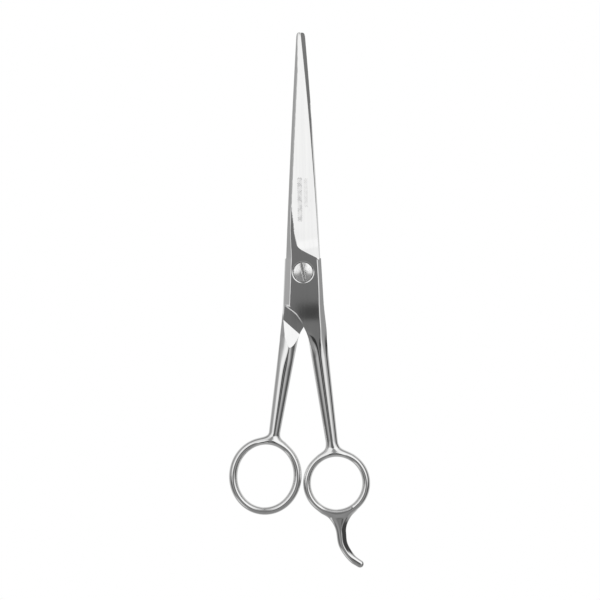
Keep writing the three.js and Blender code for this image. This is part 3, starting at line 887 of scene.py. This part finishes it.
def polished_steel(name, marked=False):
    """Mirror polish with fine lengthwise polishing lines, faint smears and softer, duller ridges."""
    material, n, place = new_material(name)
    smears = n.step(n.noise(place, scale=60, detail=3, stretch=(1, 1, 0.5)), 0.32, 0.72)
    lines = n.noise(place, scale=2600, detail=2, stretch=(1, 1, 0.02))
    broad_lines = n.noise(place, scale=900, detail=2, stretch=(1, 1, 0.015))
    pits = n.noise(place, scale=5200, detail=2)
    ridges = n.step(n.add("NewGeometry").outputs["Pointiness"], 0.52, 0.60)
    roughness = n.mix(ridges, n.mix(smears, 0.02, 0.05), 0.15)
    color = n.blend(smears, STEEL, SMEARED_STEEL)
    color = n.blend(n.step(broad_lines, 0.35, 0.75, high=0.6), color, LINED_STEEL)
    grain = n.bump(lines, strength=0.03, distance=0.00002)
    grain = n.bump(pits, strength=0.012, distance=0.00001, normal=grain)
    if marked:
        etched = etched_ornament(n, place)
        color = n.blend(etched, color, ETCHED_STEEL)
        roughness = n.mix(etched, roughness, 0.35)
        grain = n.bump(n.maths("MULTIPLY", etched, -1.0), strength=0.3, distance=0.00001, normal=grain)
    inputs = {"Base Color": color, "Metallic": 1.0, "Roughness": roughness, "Normal": grain}
    n.output("Material", n.add("BsdfPrincipled", inputs))
    return material


def turned_steel(name):
    """Satin steel with the fine rings that a lathe leaves, and wear in patches."""
    material, n, place = new_material(name)
    x, _, z = n.add("SeparateXYZ", {0: place}).outputs
    radius = n.maths("SQRT", n.maths("ADD", n.maths("POWER", x, 2.0), n.maths("POWER", z, 2.0)))
    rings = n.maths("SINE", n.maths("MULTIPLY", radius, 2 * math.pi / (TURNING_PITCH * MM)))
    worn = n.step(n.noise(place, scale=3000, detail=4), 0.3, 0.7)
    roughness = n.mix(worn, 0.10, 0.36)
    grain = n.bump(rings, strength=0.06, distance=0.00001)
    grain = n.bump(n.noise(place, scale=3000, detail=2), strength=0.06, distance=0.00002, normal=grain)
    inputs = {"Base Color": SCREW_STEEL, "Metallic": 1.0, "Roughness": roughness, "Normal": grain}
    n.output("Material", n.add("BsdfPrincipled", inputs))
    return material


# ---------------------------------------------------------------- studio

STEEL_WHITE = 0.92                    # share of the light that the steel gives back

# The surroundings that the steel mirrors: bands at rising heights above the horizon (degrees). Each goes from
# straight towards the camera (0) to straight behind the shears (180), the same on both sides, in pairs of
# angle and brightness as seen in the polished steel (percent of white).
BEHIND = ((96, 56), (108, 64), (120, 71), (144, 84), (180, 90))
BANDS = (
    (-90, ((0, 52), (180, 52))),
    (-45, ((0, 53), (60, 48), (120, 58), (180, 66))),
    (-20, ((0, 42), (12, 50), (36, 54), (60, 40), (84, 43), *BEHIND)),
    (-12, ((0, 40), (20, 55), (40, 54), (60, 33), (74, 35), *BEHIND)),
    (-6, ((0, 46), (15, 52), (24, 72), (38, 76), (48, 66), (60, 46), (72, 40), *BEHIND)),
    (-1.3, ((0, 43), (3, 43), (15, 70), (24, 87), (36, 90), (46, 82), (54, 66), (62, 60), *BEHIND)),
    (4, ((0, 43), (3, 43), (15, 80), (24, 94), (36, 96), (47, 90), (55, 70), (62, 62), *BEHIND)),
    (14, ((0, 56), (4, 58), (9, 90), (16, 97), (45, 97), (56, 82), (66, 70), *BEHIND)),
    (32, ((0, 54), (10, 60), (20, 97), (45, 99), (60, 86), (84, 70), *BEHIND)),
    (58, ((0, 54), (24, 84), (45, 97), (60, 86), (84, 64), (120, 56), (180, 68))),
    (80, ((0, 56), (30, 80), (60, 80), (110, 56), (180, 56))),
)
LEFT_SHARE = 0.86                     # brightness of the left side above the horizon, against the right
LEFT_SIDE = (-12.0, -24.0)            # angles between which the left side sets in
LEFT_HEIGHT = (4.0, 16.0)

PANELS = (
    # side angle from and to, height from and to, softness of the edges (degrees), brightness (percent)
    ("dark curtain on the right", 76, 98, -40, 42, 6, 24),
    ("bright table edge low on the left", -100, -52, -58, -34, 7, 80),
    ("dark bar right of the camera", 4.5, 13, -8, 9, 1.2, 20),
    ("dark bar left of the camera", -13, -4.5, -8, 9, 1.2, 20),
    ("camera lens", -0.1, 1.0, -0.57, -0.1, 0.05, 25),
)


def as_light(percent):
    """Strength of the light that shows in the steel as this brightness, for a display."""
    return ((percent / 100 + 0.055) / 1.055) ** 2.4 / STEEL_WHITE


def banded_light(n, side, height):
    """Light from each direction, mixed smoothly from band to band."""
    away = n.maths("DIVIDE", n.maths("ABSOLUTE", side), 180.0)
    light = None
    for band_height, profile in BANDS:
        band = n.profile(away, [(angle / 180, as_light(percent)) for angle, percent in profile])
        light = band if light is None else n.mix(n.step(height, below, band_height), light, band)
        below = band_height
    return light


def studio():
    """The white surroundings, of which the steel mirrors the bands and the panels."""
    world = bpy.data.worlds.new("studio")
    bpy.context.scene.world = world
    world.use_nodes = True
    n = Nodes(world.node_tree)
    x, y, z = n.add("SeparateXYZ", {0: n.add("TexCoord").outputs["Generated"]}).outputs
    to_degrees = 180 / math.pi
    side = n.maths("MULTIPLY", n.maths("ARCTAN2", x, n.maths("MULTIPLY", y, -1.0)), to_degrees)
    height = n.maths("MULTIPLY", n.maths("ARCSINE", z), to_degrees)
    light = banded_light(n, side, height)
    left_side = n.product(n.step(side, *LEFT_SIDE), n.step(height, *LEFT_HEIGHT))
    light = n.maths("MULTIPLY", light, n.mix(left_side, 1.0, LEFT_SHARE))
    for _, left, right, low, high, soft, percent in PANELS:
        mask = n.product(n.step(side, left - soft, left + soft), n.step(side, right + soft, right - soft),
                         n.step(height, low - soft, low + soft), n.step(height, high + soft, high - soft))
        light = n.mix(mask, light, as_light(percent))
    light = n.mix(n.add("LightPath").outputs["Is Camera Ray"], light, 1.0)
    n.output("World", n.add("Background", {"Color": grey(1.0), "Strength": light}))


FLOOR_RADIUS = 0.3
FLOOR_SIDES = 96
FLOOR_GAP = 0.0004
FLOOR_FADE = (0.28, 0.08)             # distances from the middle between which the floor's shade sets in
FLOOR_FACING = (0.16, 0.42)           # the same for the view: 0 is along the floor and 1 straight down
FLOOR_SHADE = (0.62, 0.90)            # brightness of the glowing floor under the shears, where it is a painted shadow, and in the open
PAINTED_SHADOW_REACH = 0.05


def floor():
    """A pale disc just under the shears, which fades into the white background at its rim and when seen
    from low down. It glows rather than being lit, and its darkening under the shears is a painted shadow from
    ambient occlusion."""
    low, high = CAD_BOX
    centre = (low + high) / 2
    height = low[2] - FLOOR_GAP
    angles = np.linspace(0, 2 * math.pi, FLOOR_SIDES, endpoint=False)
    rim = [(centre[0] + FLOOR_RADIUS * math.cos(angle), centre[1] + FLOOR_RADIUS * math.sin(angle), height)
           for angle in angles]
    mesh = bpy.data.meshes.new("floor")
    mesh.from_pydata(rim, [], [tuple(range(FLOOR_SIDES))])
    piece = bpy.data.objects.new("floor", mesh)
    bpy.context.scene.collection.objects.link(piece)
    material, n, place = new_material("pale_floor")
    middle = (centre[0], centre[1], height)
    away = n.add("VectorMath", {0: place, 1: middle}, operation="DISTANCE").outputs["Value"]
    view = n.add("NewGeometry").outputs["Incoming"]
    facing = n.add("VectorMath", {0: view, 1: (0, 0, 1)}, operation="DOT_PRODUCT").outputs["Value"]
    fade = n.product(n.step(away, *FLOOR_FADE), n.step(facing, *FLOOR_FACING))
    # painted shadow: ambient occlusion dims the glow of the floor close under the shears
    open_share = n.add("AmbientOcclusion", {"Distance": PAINTED_SHADOW_REACH}, samples=8).outputs["AO"]
    light = n.mix(fade, 1.0, n.mix(open_share, *FLOOR_SHADE))
    n.output("Material", n.add("Emission", {"Color": grey(1.0), "Strength": light}))
    mesh.materials.append(material)
    piece.visible_glossy = False


LENS = 120
SENSOR = 36
VIEW_HEIGHT = 1.12                    # of the picture, in heights of the shears
AIM = Vector((0.0009, 0, 0.0002))     # from the middle of the shears to the middle of the picture
ROLL = math.radians(0.6)


def camera():
    """The camera straight in front of the shears, with a long lens."""
    data = bpy.data.cameras.new("camera")
    data.lens = LENS
    data.sensor_width = SENSOR
    low, high = CAD_BOX
    middle = (low + high) / 2
    middle.y = MID_Y * MM
    distance = VIEW_HEIGHT * (high.z - low.z) * LENS / SENSOR
    seen_from = bpy.data.objects.new("camera", data)
    seen_from.location = middle + AIM - Vector((0, distance, 0))
    seen_from.rotation_euler = (math.pi / 2, ROLL, 0)
    bpy.context.scene.collection.objects.link(seen_from)
    bpy.context.scene.camera = seen_from


# ---------------------------------------------------------------- the shears

front = build_half("front_half_steel", "front_half", FINGER, half_solid(FINGER, screw_hole, finger_rest))
back = build_half("back_half_steel", "back_half", THUMB, half_solid(THUMB, plain_hole), turned=True)
screw = build("pivot_screw_steel", "pivot_screw", screw_solid, *dual_contour(screw_solid, SCREW_GRID))
stand_for(front, "front_half", polished_steel("polished_steel_etched", marked=True))
stand_for(back, "back_half", polished_steel("polished_steel"))
stand_for(screw, "pivot_screw", turned_steel("turned_steel"))
studio()
floor()
camera()
bpy.context.scene.view_settings.view_transform = "Standard"
